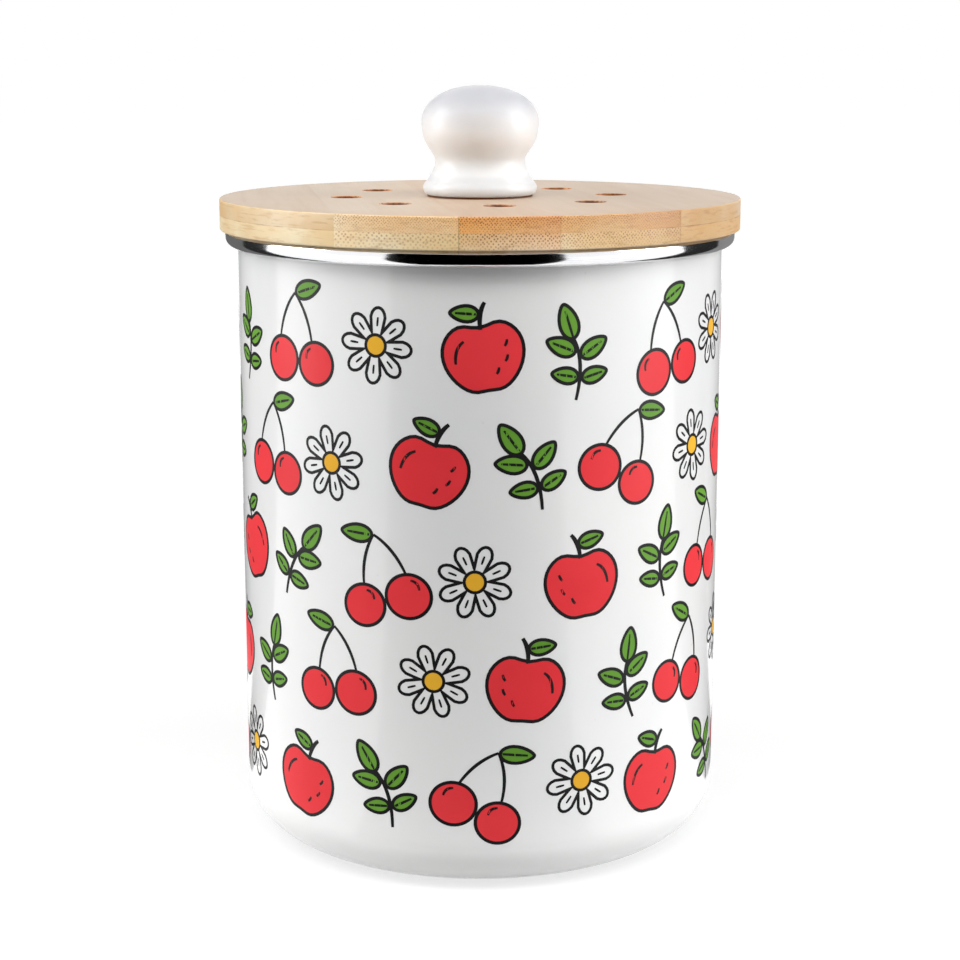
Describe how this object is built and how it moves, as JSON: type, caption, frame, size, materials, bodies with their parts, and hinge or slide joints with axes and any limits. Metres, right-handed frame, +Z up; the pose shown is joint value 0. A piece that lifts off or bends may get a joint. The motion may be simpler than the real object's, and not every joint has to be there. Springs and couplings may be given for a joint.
{
  "type": "compost caddy",
  "caption": "Straight coated-steel kitchen canister with a bright rolled rim, and a lift-off vented wooden lid with a round knob and a carbon filter in a slotted holder.",
  "frame": {"origin": "middle of the base, on the surface that the canister stands on", "axes": "+Z up along the canister's axis, the pictured side faces -Y"},
  "size_m": [0.172, 0.172, 0.2497],
  "materials": {
    "white_enamel": "gloss white enamel on steel",
    "polished_steel": "mirror polished stainless",
    "bamboo": "satin oiled bamboo",
    "silicone": "matt translucent silicone",
    "white_glaze": "gloss white glaze",
    "brown_rubber": "matt",
    "brass": "turned",
    "zinc_steel": "bright zinc plate",
    "white_plastic": "satin moulded",
    "carbon_pad": "open black carbon felt"
  },
  "bodies": {
    "canister": {"canister_shell": "white_enamel", "rim_band": "polished_steel"},
    "lid": {"lid_top_strip_1": "bamboo", "lid_top_strip_2": "bamboo", "lid_top_strip_3": "bamboo", "lid_top_strip_4": "bamboo", "lid_top_strip_5": "bamboo", "lid_bottom_strip_1": "bamboo", "lid_bottom_strip_2": "bamboo", "lid_bottom_strip_3": "bamboo", "lid_bottom_strip_4": "bamboo", "lid_bottom_strip_5": "bamboo", "lid_plug_ring": "bamboo", "lid_seal": "silicone", "knob": "white_glaze", "knob_cushion": "brown_rubber", "knob_insert": "brass", "knob_screw": "zinc_steel", "knob_washer": "zinc_steel", "filter_collar": "white_plastic", "collar_screw_1": "zinc_steel", "collar_screw_2": "zinc_steel", "collar_screw_3": "zinc_steel", "collar_screw_4": "zinc_steel"},
    "filter": {"filter_holder": "white_plastic", "filter_pad": "carbon_pad"}
  },
  "joints": [
    {"name": "lid_lift", "type": "slide", "parent": "canister", "child": "lid", "axis": [0, 0, 1], "range_m": [0, 0.12]},
    {"name": "filter_pull", "type": "slide", "parent": "lid", "child": "filter", "axis": [0, 0, -1], "range_m": [0, 0.03]}
  ]
}
